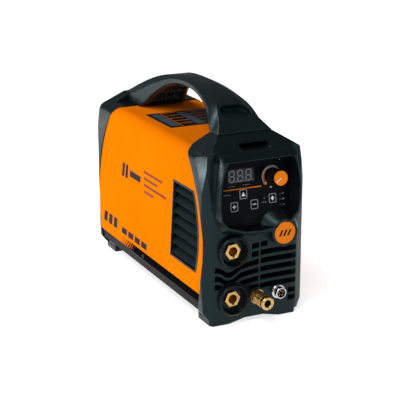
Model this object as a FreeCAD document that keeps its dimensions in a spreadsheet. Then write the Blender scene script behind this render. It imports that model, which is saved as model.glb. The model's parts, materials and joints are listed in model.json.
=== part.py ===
import FreeCAD, Part
import Sketcher
import math
import os
import re

# TIG welder: a portable inverter machine in a folded steel cover between two plastic
# end mouldings, with a carrying handle across the top.
# Frame: +X to the right, +Y to the back, +Z up, front panel facing -Y, in millimetres.
# The origin is on the floor, under the centre of the whole machine.

Vector = FreeCAD.Vector
document = FreeCAD.newDocument("tig_welder")
sheet = document.addObject("Spreadsheet::Sheet", "dims")

DIMENSIONS = {
    # overall stations, front to back
    "rim_y": -201, "face_y": -189, "foot_y": -185, "shoulder_y": -180, "seam_y": -152.5,
    "hood_back_y": -128, "rear_y": 201, "rear_top_y": 186, "service_y": 198.2,
    # heights
    "panel_bottom": 8, "tray_bottom": 19, "cover_bottom": 33, "cover_top": 241,
    "hood_top": 257.5, "shoulder_z": 243, "handle_top": 306,
    # widths
    "panel_width": 155, "cover_width": 152, "tray_width": 148, "face_width": 125,
    "hood_width": 82, "foot_width": 133, "foot_face_width": 125.4,
    # walls and gaps
    "wall": 3.5, "sheet_steel": 1.2, "tray_steel": 1.5, "gap": 0.3, "cover_corner": 16,
    # control recess
    "plate_tilt": 8, "plate_y": -180, "plate_z": 152, "plate_width": 108, "plate_height": 75,
    "plate_thick": 1.5,
    # controls
    "key_width": 12.3, "key_height": 13, "key_proud": 0.6, "key_deep": 3, "key_gap": 0.35,
    "dial_x": 30, "dial_s": 47.5, "dial_radius": 9.7, "dial_proud": 27.6, "dial_clear": 1,
    "cap_thick": 2, "shaft_radius": 3, "shaft_fit": 0.05,
    "display_x": -15.6, "display_s": 53.3, "display_width": 40, "display_height": 19,
    # welding sockets
    "socket_x": -36, "socket_high": 106, "socket_low": 38, "collar_radius": 22.5,
    "collar_proud": 8, "socket_hole": 19, "contact_bore": 6.5, "hex_flats": 20,
    "contact_bore_depth": 24,
    # gas, control socket and badge
    "gas_x": -0.5, "gas_z": 37.5, "gas_tip": 36, "gas_radius": 9.5, "gas_bore": 4.85,
    "gas_tube": 6.5, "sleeve_travel": 3, "plug_x": 33.5, "plug_z": 38.5, "plug_thread": 8,
    "badge_x": 38, "badge_z": 125, "badge_radius": 15.7, "badge_boss": 19.5, "badge_proud": 11,
    "flare_y": -176, "flare_radius": 36,
    # front vents
    "vent_pitch": 12, "vent_slot": 7.2, "vent_reach": 62,
    # side louvres
    "louvre_back": -80, "louvre_front": -155, "louvre_low": 71, "louvre_high": 186,
    "louvre_rim": 3, "blade_pitch": 15.6, "blade_thick": 1.6, "blade_deep": 14,
    # rear services
    "fan_size": 92, "fan_deep": 25, "fan_z": 86, "fan_x": -16, "fan_radius": 42,
    "switch_x": 50, "switch_z": 196, "gland_x": -46, "gland_z": 196, "inlet_x": 50,
    "inlet_z": 40, "barb_reach": 24,
}
for row, (alias, value) in enumerate(DIMENSIONS.items(), start=1):
    sheet.set("A%d" % row, alias.replace("_", " "))
    sheet.set("B%d" % row, str(value))
    sheet.setAlias("B%d" % row, alias)
document.recompute()

NODES = []


def bound(expression):
    """An expression on the sheet's aliases, written with the sheet's name before each."""
    def named(match):
        word = match.group()
        return "dims." + word if word in DIMENSIONS else word
    return re.sub(r"[a-z][a-z_]*", named, str(expression))


def number(expression):
    return float(sheet.evalExpression(bound(expression)))


def put(thing, at, rotation=None):
    """Stand a feature at a point given by three expressions."""
    turn = rotation or FreeCAD.Rotation()
    thing.Placement = FreeCAD.Placement(Vector(*[number(each) for each in at]), turn)
    for axis, each in zip("xyz", at):
        thing.setExpression("Placement.Base." + axis, bound(each))
    return thing


FACING = {
    "+Z": FreeCAD.Rotation(),
    "-Z": FreeCAD.Rotation(Vector(1, 0, 0), 180),
    "-Y": FreeCAD.Rotation(Vector(1, 0, 0), 90),
    "+Y": FreeCAD.Rotation(Vector(1, 0, 0), -90),
    "+X": FreeCAD.Rotation(Vector(0, 1, 0), 90),
    "-X": FreeCAD.Rotation(Vector(0, 1, 0), -90),
    "plate": FreeCAD.Rotation(Vector(1, 0, 0), 90 - DIMENSIONS["plate_tilt"]),
}


def box(name, size, corner, rotation=None):
    solid = document.addObject("Part::Box", name)
    for prop, each in zip(("Length", "Width", "Height"), size):
        solid.setExpression(prop, bound(each))
    return put(solid, corner, rotation)


def rod(name, radius, length, start, facing="+Z"):
    solid = document.addObject("Part::Cylinder", name)
    solid.setExpression("Radius", bound(radius))
    solid.setExpression("Height", bound(length))
    return put(solid, start, FACING[facing])


def cut(name, base, *tools):
    result = document.addObject("Part::Cut", name)
    result.Base = base
    result.Tool = tools[0] if len(tools) == 1 else fuse(name + "_tools", *tools)
    return result


def fuse(name, *pieces):
    result = document.addObject("Part::MultiFuse", name)
    result.Shapes = list(pieces)
    return result


def group(name, *pieces):
    """Separate solids that share one node."""
    result = document.addObject("Part::Compound", name)
    result.Links = list(pieces)
    return result


def common(name, *pieces):
    result = document.addObject("Part::MultiCommon", name)
    result.Shapes = list(pieces)
    return result


def computed(name, shape):
    feature = document.addObject("Part::Feature", name)
    feature.Shape = shape
    return feature


def keep(label, feature):
    """Register a finished sub-part; its label is its node's name."""
    feature.Label = label
    NODES.append(feature)
    return feature


def new_body(name):
    return document.addObject("PartDesign::Body", name)


def new_sketch(body, role, offset="0", turn=0):
    sketch = body.newObject("Sketcher::SketchObject", body.Name + "_sketch")
    plane = [each for each in body.Origin.OriginFeatures if each.Role == role][0]
    sketch.AttachmentSupport = [(plane, "")]
    sketch.MapMode = "FlatFace"
    sketch.AttachmentOffset = FreeCAD.Placement(
        Vector(0, 0, number(offset)), FreeCAD.Rotation(Vector(1, 0, 0), turn))
    sketch.setExpression("AttachmentOffset.Base.z", bound(offset))
    return sketch


def draw(sketch, *corners):
    """A closed outline. Each corner is (u, v), or (u, v, r) where the edge that leaves it
    is an arc of radius r, bulging to the right of the way round for r above zero."""
    spots = [Vector(number(each[0]), number(each[1]), 0) for each in corners]
    first = sketch.GeometryCount
    count = len(corners)
    for index, corner in enumerate(corners):
        start, end = spots[index], spots[(index + 1) % count]
        if len(corner) < 3:
            sketch.addGeometry(Part.LineSegment(start, end))
            continue
        radius = number(corner[2])
        half = (end - start) * 0.5
        side = Vector(half.y, -half.x, 0).normalize() * math.copysign(1, radius)
        sagitta = abs(radius) - math.sqrt(radius ** 2 - half.Length ** 2)
        middle = start + half + side * sagitta
        sketch.addGeometry(Part.Arc(start, middle, end))
    ends = []
    for index, corner in enumerate(corners):
        # an arc runs anticlockwise, so one that bulges left is stored the other way round
        flipped = len(corner) > 2 and number(corner[2]) < 0
        ends.append((2, 1) if flipped else (1, 2))
    for index, corner in enumerate(corners):
        here, after = first + index, first + (index + 1) % count
        sketch.addConstraint(Sketcher.Constraint(
            "Coincident", here, ends[index][1], after, ends[(index + 1) % count][0]))
    for index, corner in enumerate(corners):
        here = first + index
        for kind, each in (("DistanceX", corner[0]), ("DistanceY", corner[1])):
            place = sketch.addConstraint(Sketcher.Constraint(
                kind, -1, 1, here, ends[index][0], number(each)))
            sketch.setExpression("Constraints[%d]" % place, bound(each))
        if len(corner) > 2:
            place = sketch.addConstraint(Sketcher.Constraint(
                "Radius", here, abs(number(corner[2]))))
            sketch.setExpression("Constraints[%d]" % place, "abs(%s)" % bound(corner[2]))
    return sketch


def draw_circle(sketch, u, v, radius):
    here = sketch.addGeometry(Part.Circle(Vector(number(u), number(v), 0), Vector(0, 0, 1),
                                          number(radius)))
    for kind, each in (("DistanceX", u), ("DistanceY", v)):
        place = sketch.addConstraint(Sketcher.Constraint(kind, -1, 1, here, 3, number(each)))
        sketch.setExpression("Constraints[%d]" % place, bound(each))
    place = sketch.addConstraint(Sketcher.Constraint("Radius", here, number(radius)))
    sketch.setExpression("Constraints[%d]" % place, bound(radius))
    return sketch


def mirrored(half):
    """An outline that is symmetric about its v axis, from its right half with its arcs."""
    left = []
    for index in range(len(half) - 1, -1, -1):
        arc = half[index - 1][2:] if index else ()
        left.append(("-(%s)" % half[index][0], half[index][1]) + tuple(arc))
    return list(half) + left


def symmetric(half):
    """An outline from its right half, which starts beside its v axis and ends on it."""
    return list(half) + [("-(%s)" % u, v) for u, v in reversed(half[:-1])]


def pad(body, sketch, length, both=False, reverse=False):
    feature = body.newObject("PartDesign::Pad", body.Name + "_pad")
    feature.Profile = sketch
    feature.setExpression("Length", bound(length))
    feature.SideType = "Symmetric" if both else "One side"
    feature.Reversed = reverse
    sketch.Visibility = False
    document.recompute()
    return feature


def pocket(body, sketch, length, both=False, reverse=False):
    before = body.Shape.Volume
    feature = body.newObject("PartDesign::Pocket", body.Name + "_pocket")
    feature.Profile = sketch
    feature.setExpression("Length", bound(length))
    feature.SideType = "Symmetric" if both else "One side"
    feature.Reversed = reverse
    document.recompute()
    if body.Shape.Volume > before - 0.01:
        raise RuntimeError("a pocket in %s removes nothing" % body.Name)
    return feature


def loft(body, sketches, additive=True, ruled=True):
    kind = "PartDesign::AdditiveLoft" if additive else "PartDesign::SubtractiveLoft"
    feature = body.newObject(kind, body.Name + "_loft")
    feature.Profile = sketches[0]
    feature.Sections = sketches[1:]
    feature.Ruled = ruled
    document.recompute()
    return feature


def slab(name, role, length, *outlines, offset="0", both=False, reverse=False):
    """A body padded from one sketch."""
    body = new_body(name)
    sketch = new_sketch(body, role, offset)
    for corners in outlines:
        draw(sketch, *corners)
    pad(body, sketch, length, both, reverse)
    return body


def turned(name, corners, at, facing="+Z"):
    """A body turned about its own axis from a (radius, height) outline."""
    body = new_body(name)
    sketch = draw(new_sketch(body, "XZ_Plane"), *corners)
    feature = body.newObject("PartDesign::Revolution", name + "_turn")
    feature.Profile = sketch
    feature.ReferenceAxis = (sketch, ["V_Axis"])
    feature.Angle = 360
    document.recompute()
    return put(body, at, FACING[facing])


def on_plate(u, s, out="0"):
    """A point on the tilted control plate: across, up the slope, and out of it."""
    return (u,
            "plate_y + (%s) * sin(plate_tilt) - (%s) * cos(plate_tilt)" % (s, out),
            "plate_z + (%s) * cos(plate_tilt) + (%s) * sin(plate_tilt)" % (s, out))


def around(size):
    """A rectangle's four corners that closes a sketch round an outline, well outside it."""
    return [("-" + size, "-" + size), (size, "-" + size), (size, size), ("-" + size, size)]


# ---------------------------------------------------------------- end mouldings

def hat_z(y):
    """Height of the sloping brow above the control recess at a station."""
    return "hood_top + 0.5 * ((%s) - seam_y)" % y


# The bezel round the control recess, right half from the top down: rim, root on the face,
# mouth of the recess (x and z of each), and the floor of the recess on the plate (u and s)
BEZEL = [
    (49.5, 239, 53.5, 248, 48.5, 232, 54.7, 75.6),
    (54, 229, 56, 236, 52, 226, 54.7, 70),
    (57, 217, 58, 224, 55, 216, 54.7, 61),
    (60, 204, 60, 210, 58, 203, 54.7, 49),
    (61.5, 190, 61.5, 196, 59.5, 190, 54.7, 36),
    (61.5, 172, 62.3, 180, 59.5, 173, 54.7, 20),
    (59, 152, 62, 156, 57, 154.5, 54.7, -4.4),
    (50, 142, 55, 134, 48, 144.5, 46.4, -11.6),
    (25, 133.5, 28, 125, 24, 136, 24.3, -16.6),
    (0, 131.5, 0, 122.5, 0, 134, 0, -17.6),
]


def bezel(column):
    return symmetric([(str(row[column]), str(row[column + 1])) for row in BEZEL])


def shoulder_trims():
    """Cutters that slope the two upper corners of the front moulding inwards."""
    trims = []
    for side in (-1, 1):
        low = Vector(side * 77.6, -189, 165)
        back = Vector(side * 77.6, -138, 243)
        inner = Vector(side * 69.5, -180, 238)
        outward = (back - low).cross(inner - low) * side
        turn = FreeCAD.Rotation(Vector(0, 0, 1), outward)
        corner = low - turn.multVec(Vector(150, 150, 0))
        trims.append(box("shoulder_trim", ("300", "300", "60"), [str(each) for each in corner],
                         turn))
    return trims


def badge_flare():
    """The cone that widens from the badge's boss back into the control recess."""
    cone = document.addObject("Part::Cone", "flare_cone")
    cone.setExpression("Radius1", bound("flare_radius"))
    cone.setExpression("Radius2", bound("badge_boss"))
    cone.setExpression("Height", bound("flare_y - face_y + badge_proud"))
    put(cone, ("badge_x", "flare_y", "badge_z"), FACING["-Y"])
    limit = box("flare_limit", ("68", "30", "50"), ("-8", "face_y - 12", "badge_z + 3"))
    behind = box("behind_plate", ("200", "200", "60"), on_plate("-100", "-100", "0.4 - 60"),
                 FACING["plate"])
    return cut("flare", common("flare_part", cone, limit), behind)


def front_panel():
    body = new_body("front_shell")
    side = new_sketch(body, "YZ_Plane")
    draw(side,
         ("face_y", "panel_bottom"), ("-163", "panel_bottom"), ("-166", "cover_bottom - 2", -262),
         ("-179", "118", -172), ("-122", "cover_top + 2"), ("hood_back_y", "hood_top"),
         ("seam_y", "hood_top"), ("shoulder_y", hat_z("shoulder_y")), ("face_y", "130"))
    pad(body, side, "panel_width", both=True)
    front = new_sketch(body, "XZ_Plane")
    half = [("67", "panel_bottom"), ("75.5", "tray_bottom"), ("panel_width / 2", "60"),
            ("panel_width / 2", "200"), ("panel_width / 2 - 1", "228", 14),
            ("panel_width / 2 - 10", "240"), ("hood_width / 2 + 1", "hood_top - 0.6", 3),
            ("hood_width / 2 - 1", "hood_top")]
    draw(front, *mirrored(half))
    draw(front, *around("400"))
    pocket(body, front, "900", both=True)
    plan = new_sketch(body, "XY_Plane")
    half = [("face_width / 2 - 7", "face_y - 0.01", 18), ("face_width / 2 + 3", "face_y + 3"),
            ("panel_width / 2 - 3", "-180", 6.8), ("panel_width / 2", "-174.4"),
            ("panel_width / 2", "-100")]
    draw(plan, *mirrored(half))
    draw(plan, *around("400"))
    pocket(body, plan, "900", both=True)
    # hollow behind the face, then the hollow of the brow above it
    cavity = new_sketch(body, "XY_Plane", "panel_bottom + wall")
    draw(cavity, ("-55", "face_y + wall"), ("55", "face_y + wall"), ("73.5", "-173"),
         ("73.5", "-90"), ("-73.5", "-90"), ("-73.5", "-173"))
    pocket(body, cavity, "200 - panel_bottom - wall", reverse=True)
    upper = new_sketch(body, "XY_Plane", "199.9")
    draw(upper, ("-58", "-175"), ("58", "-175"), ("66", "-168"), ("66", "-90"), ("-66", "-90"),
         ("-66", "-168"))
    pocket(body, upper, "cover_top - 11 - 199.9", reverse=True)
    brow = new_sketch(body, "YZ_Plane")
    draw(brow, ("-146", "228"), ("-90", "228"), ("-90", "cover_top - 3"),
         ("hood_back_y - 3", "cover_top - 2"), ("hood_back_y - 4", "hood_top - wall"),
         ("-146", "hood_top - wall"))
    pocket(body, brow, "hood_width - 8", both=True)
    # block that carries the control recess, then the raised bezel in front of the face
    block = new_sketch(body, "XZ_Plane", "-(face_y + 2)")
    draw(block, ("-62", "128"), ("62", "128"), ("62", "231"), ("-62", "231"))
    pad(body, block, "27", reverse=True)
    loft(body, [draw(new_sketch(body, "XZ_Plane", "-rim_y"), *bezel(0)),
                draw(new_sketch(body, "XZ_Plane", "-(face_y + 1)"), *bezel(2))])
    root = draw(new_sketch(body, "XZ_Plane", "-(face_y + 1.01)"), *bezel(2))
    pad(body, root, "12", reverse=True)
    above = new_sketch(body, "YZ_Plane")
    draw(above, ("rim_y - 9", hat_z("rim_y - 9")), ("seam_y", "hood_top"),
         ("seam_y", "300"), ("rim_y - 9", "300"))
    pocket(body, above, "400", both=True)
    # the recess itself, drafted from the rim in to the tilted plate
    back = new_sketch(body, "XZ_Plane", "0", turn=-DIMENSIONS["plate_tilt"])
    back.setExpression("AttachmentOffset.Base.z",
                       bound("-(plate_y + (plate_thick + 0.05) / cos(plate_tilt))"))
    back.AttachmentOffset.Base.y = number("plate_z")
    back.setExpression("AttachmentOffset.Base.y", bound("plate_z"))
    draw(back, *bezel(6))
    loft(body, [draw(new_sketch(body, "XZ_Plane", "-rim_y + 0.01"), *bezel(4)), back],
         additive=False)
    window = new_sketch(body, "XZ_Plane", "190")
    draw(window, ("-50", "150"), ("50", "150"), ("50", "220"), ("-50", "220"))
    pocket(body, window, "60")
    # badge boss, seats and bores
    boss = new_sketch(body, "XZ_Plane", "-(face_y + 2)")
    draw_circle(boss, "badge_x", "badge_z", "badge_boss")
    pad(body, boss, "badge_proud + 2")
    gas_boss = new_sketch(body, "XZ_Plane", "-(face_y + 2)")
    draw_circle(gas_boss, "gas_x", "gas_z", "13")
    pad(body, gas_boss, "6")
    holes = new_sketch(body, "XZ_Plane", "-(face_y - 12)")
    for z in ("socket_high", "socket_low"):
        draw_circle(holes, "socket_x", z, "socket_hole + 0.2")
    draw_circle(holes, "gas_x", "gas_z", "gas_tube + 2.7")
    draw_circle(holes, "plug_x", "plug_z", "plug_thread + 0.2")
    pocket(body, holes, "24")
    strap = new_sketch(body, "XZ_Plane", "205")
    draw(strap, ("-18", "241.5"), ("22", "241.5", 3.8), ("22", "248.5"),
         ("-18", "248.5", 3.8))
    pocket(body, strap, "205 + seam_y + 1")
    tongue = new_sketch(body, "YZ_Plane")
    draw(tongue, ("-172", "panel_bottom"), ("-146", "panel_bottom"), ("-146", "tray_bottom - gap"),
         ("-172", "tray_bottom - gap"))
    pad(body, tongue, "foot_width - 1", both=True)
    room = rod("collar_room", "collar_radius + 0.4", "14", ("socket_x", "face_y", "socket_high"),
               "-Y")
    seat = rod("badge_seat", "badge_radius + 0.2", "10",
               ("badge_x", "face_y - badge_proud + 1.6", "badge_z"), "-Y")
    shell = cut("front_panel_cut", fuse("front_solid", body, badge_flare()), vent_slots(), room,
                seat, *shoulder_trims())
    return keep("front_panel", shell)


def vent_height(x, right):
    """Middle of a vent slot: level at the left, a dip below the socket, a rise, then flat."""
    dip = -9.5 * math.exp(-((x + 40) / 11.0) ** 2)
    rise = 5.0 / (1 + math.exp((x + 8) / -9.0))
    return right - 5 + rise + dip


def vent_slots():
    """Cutters for the curved vent slots between the ribs."""
    slot = number("vent_slot") / 2
    pitch, reach = number("vent_pitch"), number("vent_reach")
    top = 99
    runs = []
    for row, (left, right) in enumerate(((-7, reach), (-reach, reach), (-reach, reach),
                                         (-reach, reach), (-9, reach))):
        runs.append((left, right, top - pitch * row))
    runs += [(50, reach, 37), (50, reach, 26), (-7, 17, 111), (58.3, reach, 112)]
    cutters = []
    for left, right, height in runs:
        for start, end in ((left, 4.0), (6.4, right)):
            start = max(start, left)
            if end - start < 3:
                continue
            count = max(2, int((end - start) / 9))
            xs = [start + (end - start) * each / count for each in range(count + 1)]
            upper = [Vector(x, 0, vent_height(x, height) + slot) for x in xs]
            lower = [Vector(x, 0, vent_height(x, height) - slot) for x in reversed(xs)]
            edges = []
            for line in (upper, lower):
                curve = Part.BSplineCurve()
                curve.interpolate(line)
                edges.append(curve.toShape())
            edges.insert(1, Part.makeLine(upper[-1], lower[0]))
            edges.append(Part.makeLine(lower[-1], upper[0]))
            face = Part.Face(Part.Wire(edges))
            face.translate(Vector(0, number("face_y") - 2, 0))
            cutters.append(face.extrude(Vector(0, 8, 0)))
    spare = cutters[0].fuse(cutters[1:])
    clear = [Part.makeCylinder(number("collar_radius") + 1.2, 30,
                               Vector(number("socket_x"), number("face_y") - 9, number(z)),
                               Vector(0, 1, 0)) for z in ("socket_high", "socket_low")]
    clear.append(Part.makeCylinder(number("badge_boss") + 1, 30,
                                   Vector(number("badge_x"), number("face_y") - 9,
                                          number("badge_z")), Vector(0, 1, 0)))
    return computed("vent_cutters", spare.cut(clear))


def foot(label, front, back, nose):
    """A low plinth with a shallow arch between its two pads; nose is its bevelled end."""
    flat = "foot_face_width / 2"
    wide = "foot_width / 2"
    step = "%s + %s" % (nose, "5" if nose == front else "-5")
    if nose == front:
        corners = [("-" + flat, nose), (flat, nose), (wide, step), (wide, back),
                   ("-" + wide, back), ("-" + wide, step)]
    else:
        corners = [("-" + wide, front), (wide, front), (wide, step), (flat, nose),
                   ("-" + flat, nose), ("-" + wide, step)]
    body = slab(label + "_body", "XY_Plane", "panel_bottom", corners)
    arch = new_sketch(body, "XZ_Plane")
    draw(arch, ("-39", "-1"), ("39", "-1"), ("39", "0"), ("14", "5.5"), ("-14", "5.5"),
         ("-39", "0"))
    pocket(body, arch, "900", both=True)
    return keep(label, body)


def rear_panel():
    body = new_body("rear_shell")
    side = new_sketch(body, "YZ_Plane")
    draw(side,
         ("189", "panel_bottom"), ("rear_y - 3", "panel_bottom"), ("rear_y", "14"),
         ("rear_y", "120", 420), ("rear_top_y", "238"), ("rear_top_y - 7", "hood_top - 2"),
         ("157", "hood_top - 2"), ("157", "cover_top + 2"), ("129", "cover_top + 2", -235),
         ("192.5", "cover_bottom - 2"), ("189", "tray_bottom + 4"))
    pad(body, side, "panel_width", both=True)
    front = new_sketch(body, "XZ_Plane")
    half = [("67", "panel_bottom"), ("75.5", "tray_bottom"), ("panel_width / 2", "60"),
            ("panel_width / 2", "200"), ("panel_width / 2 - 1", "228", 14),
            ("panel_width / 2 - 10", "240"), ("hood_width / 2 - 3", "hood_top - 2")]
    draw(front, *mirrored(half))
    draw(front, *around("400"))
    pocket(body, front, "900", both=True)
    plan = new_sketch(body, "XY_Plane")
    draw(plan, ("panel_width / 2", "100"), ("panel_width / 2", "rear_y - 8", 10),
         ("panel_width / 2 - 7", "rear_y + 0.01"), ("-panel_width / 2 + 7", "rear_y + 0.01", 10),
         ("-panel_width / 2", "rear_y - 8"), ("-panel_width / 2", "100"))
    draw(plan, *around("400"))
    pocket(body, plan, "900", both=True)
    cavity = new_sketch(body, "XY_Plane", "panel_bottom + wall")
    draw(cavity, ("-73.5", "90"), ("73.5", "90"), ("73.5", "rear_y - 12"), ("66", "rear_y - wall"),
         ("-66", "rear_y - wall"), ("-73.5", "rear_y - 12"))
    pocket(body, cavity, "170 - panel_bottom - wall", reverse=True)
    upper = new_sketch(body, "XY_Plane", "169.9")
    draw(upper, ("-73.5", "90"), ("73.5", "90"), ("73.5", "rear_top_y - 10"),
         ("66", "rear_top_y - wall - 1"), ("-66", "rear_top_y - wall - 1"),
         ("-73.5", "rear_top_y - 10"))
    pocket(body, upper, "cover_top - 11 - 169.9", reverse=True)
    saddle = new_sketch(body, "XZ_Plane", "-100")
    draw(saddle, ("-40.6", "cover_top + 0.1"), ("40.6", "cover_top + 0.1"), ("40.6", "252"),
         ("-40.6", "252"))
    pocket(body, saddle, "57")
    flat = new_sketch(body, "XZ_Plane", "-service_y")
    draw(flat, *rectangle("2", "switch_z", "136", "36"))
    pad(body, flat, "12")
    tongue = new_sketch(body, "YZ_Plane")
    draw(tongue, ("158", "panel_bottom"), ("192", "panel_bottom"), ("192", "tray_bottom - gap"),
         ("158", "tray_bottom - gap"))
    pad(body, tongue, "foot_width - 1", both=True)
    seats = new_sketch(body, "XZ_Plane", "-(rear_y + 2)")
    draw_circle(seats, "fan_x", "fan_z", "fan_radius")
    draw_circle(seats, "inlet_x", "inlet_z", "6.2")
    pocket(body, seats, "40", reverse=True)
    service = new_sketch(body, "XZ_Plane", "-(rear_y + 2)")
    draw(service, ("switch_x - 14", "switch_z - 11"), ("switch_x + 14", "switch_z - 11"),
         ("switch_x + 14", "switch_z + 11"), ("switch_x - 14", "switch_z + 11"))
    draw_circle(service, "gland_x", "gland_z", "10.2")
    pocket(body, service, "60", reverse=True)
    return keep("rear_panel", body)


# ---------------------------------------------------------------- cover, tray and handle

def cover_shell():
    half, corner = "cover_width / 2", "cover_corner"
    body = new_body("cover_body")
    section = new_sketch(body, "XZ_Plane")
    outer = [("-" + half, "cover_bottom"), ("-%s + sheet_steel" % half, "cover_bottom"),
             ("-%s + sheet_steel" % half, "cover_top - " + corner, "-(cover_corner - sheet_steel)"),
             ("-%s + %s" % (half, corner), "cover_top - sheet_steel"),
             ("%s - %s" % (half, corner), "cover_top - sheet_steel",
              "-(cover_corner - sheet_steel)"),
             (half + " - sheet_steel", "cover_top - " + corner),
             (half + " - sheet_steel", "cover_bottom"), (half, "cover_bottom"),
             (half, "cover_top - " + corner, corner),
             ("%s - %s" % (half, corner), "cover_top"),
             ("-%s + %s" % (half, corner), "cover_top", corner),
             ("-" + half, "cover_top - " + corner)]
    draw(section, *outer)
    pad(body, section, "420", both=True)
    ends = new_sketch(body, "YZ_Plane")
    draw(ends, ("-165.7", "cover_bottom - 5"), ("192.2", "cover_bottom - 5"),
         ("192.2", "cover_bottom - 2", 235), ("128.7", "cover_top + 2"), ("128.7", "260"),
         ("-121.7", "260"), ("-121.7", "cover_top + 2", 172), ("-178.7", "118", 262),
         ("-165.7", "cover_bottom - 2"))
    draw(ends, *around("500"))
    pocket(body, ends, "400", both=True)
    opening = new_sketch(body, "YZ_Plane")
    draw(opening, *louvre_outline("0"))
    pocket(body, opening, "400", both=True)
    return keep("cover_shell", body)


def louvre_outline(inset):
    """The D shape of a side louvre, seen from the side, shrunk by an inset."""
    return [("louvre_back - 7 - (%s)" % inset, "louvre_high - (%s)" % inset),
            ("louvre_front + 2 + %s" % inset, "louvre_high - (%s)" % inset,
             "138 - (%s)" % inset),
            ("louvre_front - 3 + %s" % inset, "louvre_low + (%s)" % inset),
            ("louvre_back + 6 - (%s)" % inset, "louvre_low + (%s)" % inset)]


def louvre(label, side):
    """Moulded grille: a D-shaped frame set in the cover, and its sloping blades."""
    skin = "cover_width / 2"
    start = "%s - 4.2" % skin if side > 0 else "-(%s + 0.4)" % skin
    frame = new_body(label + "_frame")
    ring = new_sketch(frame, "YZ_Plane", start)
    draw(ring, *louvre_outline("gap"))
    draw(ring, *louvre_outline("louvre_rim"))
    pad(frame, ring, "4.6")
    lip = slab(label + "_lip", "YZ_Plane", "1.6", louvre_outline("-3"),
               louvre_outline("louvre_rim"),
               offset="%s - 3.2" % skin if side > 0 else "-(%s - 1.6)" % skin)
    field = slab(label + "_field", "YZ_Plane", "16", louvre_outline("louvre_rim - 0.5"),
                 offset="%s - 14" % skin if side > 0 else "-(%s + 2)" % skin)
    blades = []
    for index in range(7):
        level = "louvre_low + 5 + %d * blade_pitch" % index
        outer = "%s - 1.4" % skin if side > 0 else "-(%s - 1.4)" % skin
        lean = FreeCAD.Rotation(Vector(0, 1, 0), 225 if side > 0 else -45)
        blades.append(box(label + "_blade", ("blade_deep", "100", "blade_thick"),
                          (outer, "louvre_front - 20", level), lean))
    grille = common(label + "_blades", fuse(label + "_stack", *blades), field)
    return keep(label, fuse(label + "_grille", frame, lip, grille))


def base_tray():
    half = "tray_width / 2"
    right = [(half, "tray_bottom"), (half, "cover_bottom - 2.5"),
             ("cover_width / 2", "cover_bottom - 2"), ("cover_width / 2", "cover_bottom - 0.2"),
             (half + " + 0.5", "cover_bottom - 0.2"), (half + " + 0.5", "cover_bottom + 12"),
             (half + " - 1", "cover_bottom + 12"), (half + " - tray_steel", "tray_bottom + 1.5")]
    tray = slab("tray_body", "XZ_Plane", "351", mirrored(right), offset="-188.5")
    return keep("base_tray", tray)


# The handle's cross-section at stations from front to back: station, crease half-width and
# height, outer half-width, heights of its upper and lower edge, underside half-width and height
HANDLE = [
    (-151.8, 39.0, 259.8, 40.6, 258.8, 257.9, 38.0, 257.8),
    (-132.0, 29.5, 273.6, 40.4, 260.0, 258.0, 37.5, 257.8),
    (-124.5, 26.5, 278.0, 39.8, 263.5, 259.5, 36.5, 258.6),
    (-115.0, 22.5, 283.5, 36.5, 273.5, 268.5, 33.0, 266.0),
    (-100.0, 18.0, 290.6, 31.8, 285.0, 280.0, 27.5, 276.5),
    (-82.0, 15.6, 296.2, 27.8, 291.8, 286.5, 22.5, 283.0),
    (-62.0, 14.2, 300.8, 24.6, 297.0, 291.5, 18.5, 288.0),
    (-34.0, 12.8, 304.6, 21.4, 301.2, 295.4, 15.5, 291.8),
    (-2.0, 12.2, 306.0, 20.0, 302.4, 296.4, 14.2, 292.6),
    (28.0, 13.2, 304.8, 21.0, 300.2, 293.8, 15.0, 289.8),
    (58.0, 16.4, 300.8, 24.2, 293.4, 284.6, 18.6, 280.6),
    (82.0, 20.4, 295.0, 28.4, 285.0, 271.4, 22.8, 267.6),
    (103.0, 24.6, 287.6, 33.2, 276.0, 254.6, 28.0, 251.0),
    (119.0, 27.6, 281.0, 37.0, 268.0, 243.4, 33.0, 241.4),
    (140.0, 31.4, 271.4, 39.4, 258.4, 242.4, 36.0, 241.4),
    (156.4, 34.0, 263.4, 40.0, 252.6, 242.4, 36.0, 241.4),
]


def carry_handle():
    """A broad arch with a flat crest, sloping flanks and a hollow, ribbed rear leg."""
    body = new_body("handle_body")
    sections = []
    for station, crease, top, wide, upper, lower, under, floor in HANDLE:
        section = new_sketch(body, "XZ_Plane", str(-station))
        draw(section, *mirrored([(str(under), str(floor)), (str(wide), str(lower)),
                                 (str(wide), str(upper)), (str(crease), str(top))]))
        sections.append(section)
    loft(body, sections[2:13][::-1], ruled=False)
    loft(body, sections[:3])
    loft(body, sections[12:])
    # end that lies over the brow of the rear moulding
    tail = [draw(new_sketch(body, "XZ_Plane", "-156.3"), *mirrored(
                [("36", "hood_top - 1.8"), ("37", "hood_top - 1.8"), ("34", "263.4")])),
            draw(new_sketch(body, "XZ_Plane", "-172"), *mirrored(
                [("36", "hood_top - 1.8"), ("37", "hood_top - 1.8"), ("36", "hood_top - 0.8")]))]
    loft(body, tail)
    # hollow of the rear leg, with ribs left between its cells
    for low, ceiling, half in ((64, 283, 15.5), (84, 275, 20), (104, 265, 25.5), (124, 255, 30)):
        cells = new_sketch(body, "XY_Plane", "cover_top")
        third = half / 3
        for left, right in ((-half, -third - 1), (1 - third, third - 1), (third + 1, half)):
            draw(cells, (str(left), str(low)), (str(right), str(low)),
                 (str(right), str(low + 18)), (str(left), str(low + 18)))
        pocket(body, cells, "%s - cover_top" % ceiling, reverse=True)
    # shoulder-strap recess, square to the front slope
    strap = new_sketch(body, "XY_Plane", "283.2", turn=28)
    strap.AttachmentOffset.Base.y = -122.5
    strap.setExpression("AttachmentOffset.Base.y", "-122.5")
    draw(strap, ("-10", "-15"), ("14", "-15", 16), ("14", "15"), ("-10", "15", 16))
    pocket(body, strap, "12")
    return keep("carry_handle", body)


# ---------------------------------------------------------------- control panel

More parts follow.
